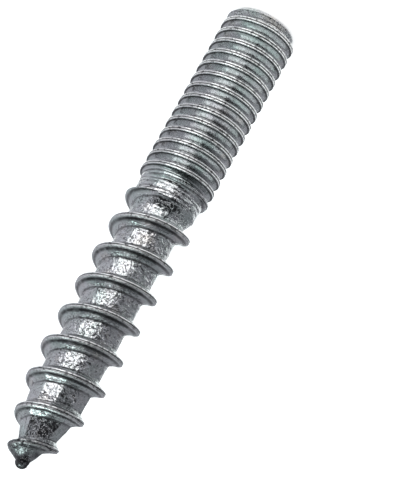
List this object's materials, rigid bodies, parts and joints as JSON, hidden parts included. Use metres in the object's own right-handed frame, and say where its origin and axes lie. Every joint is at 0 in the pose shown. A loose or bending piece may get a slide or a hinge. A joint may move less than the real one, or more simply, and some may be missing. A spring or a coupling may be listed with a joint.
{
  "type": "hanger bolt",
  "caption": "Headless steel fastener: machine thread with a chamfered flat end, short plain neck, and a coarse wood thread running to a gimlet point.",
  "frame": {"origin": "centre of the flat machine end, on which the bolt stands", "axes": "+Z runs along the bolt's axis, from the flat end to the gimlet point"},
  "size_m": [0.0082, 0.0082, 0.0537],
  "materials": {
    "zinc_plated_steel": "bright zinc plating over rolled steel"
  },
  "bodies": {
    "root": {"hanger_bolt": "zinc_plated_steel"}
  },
  "joints": []
}
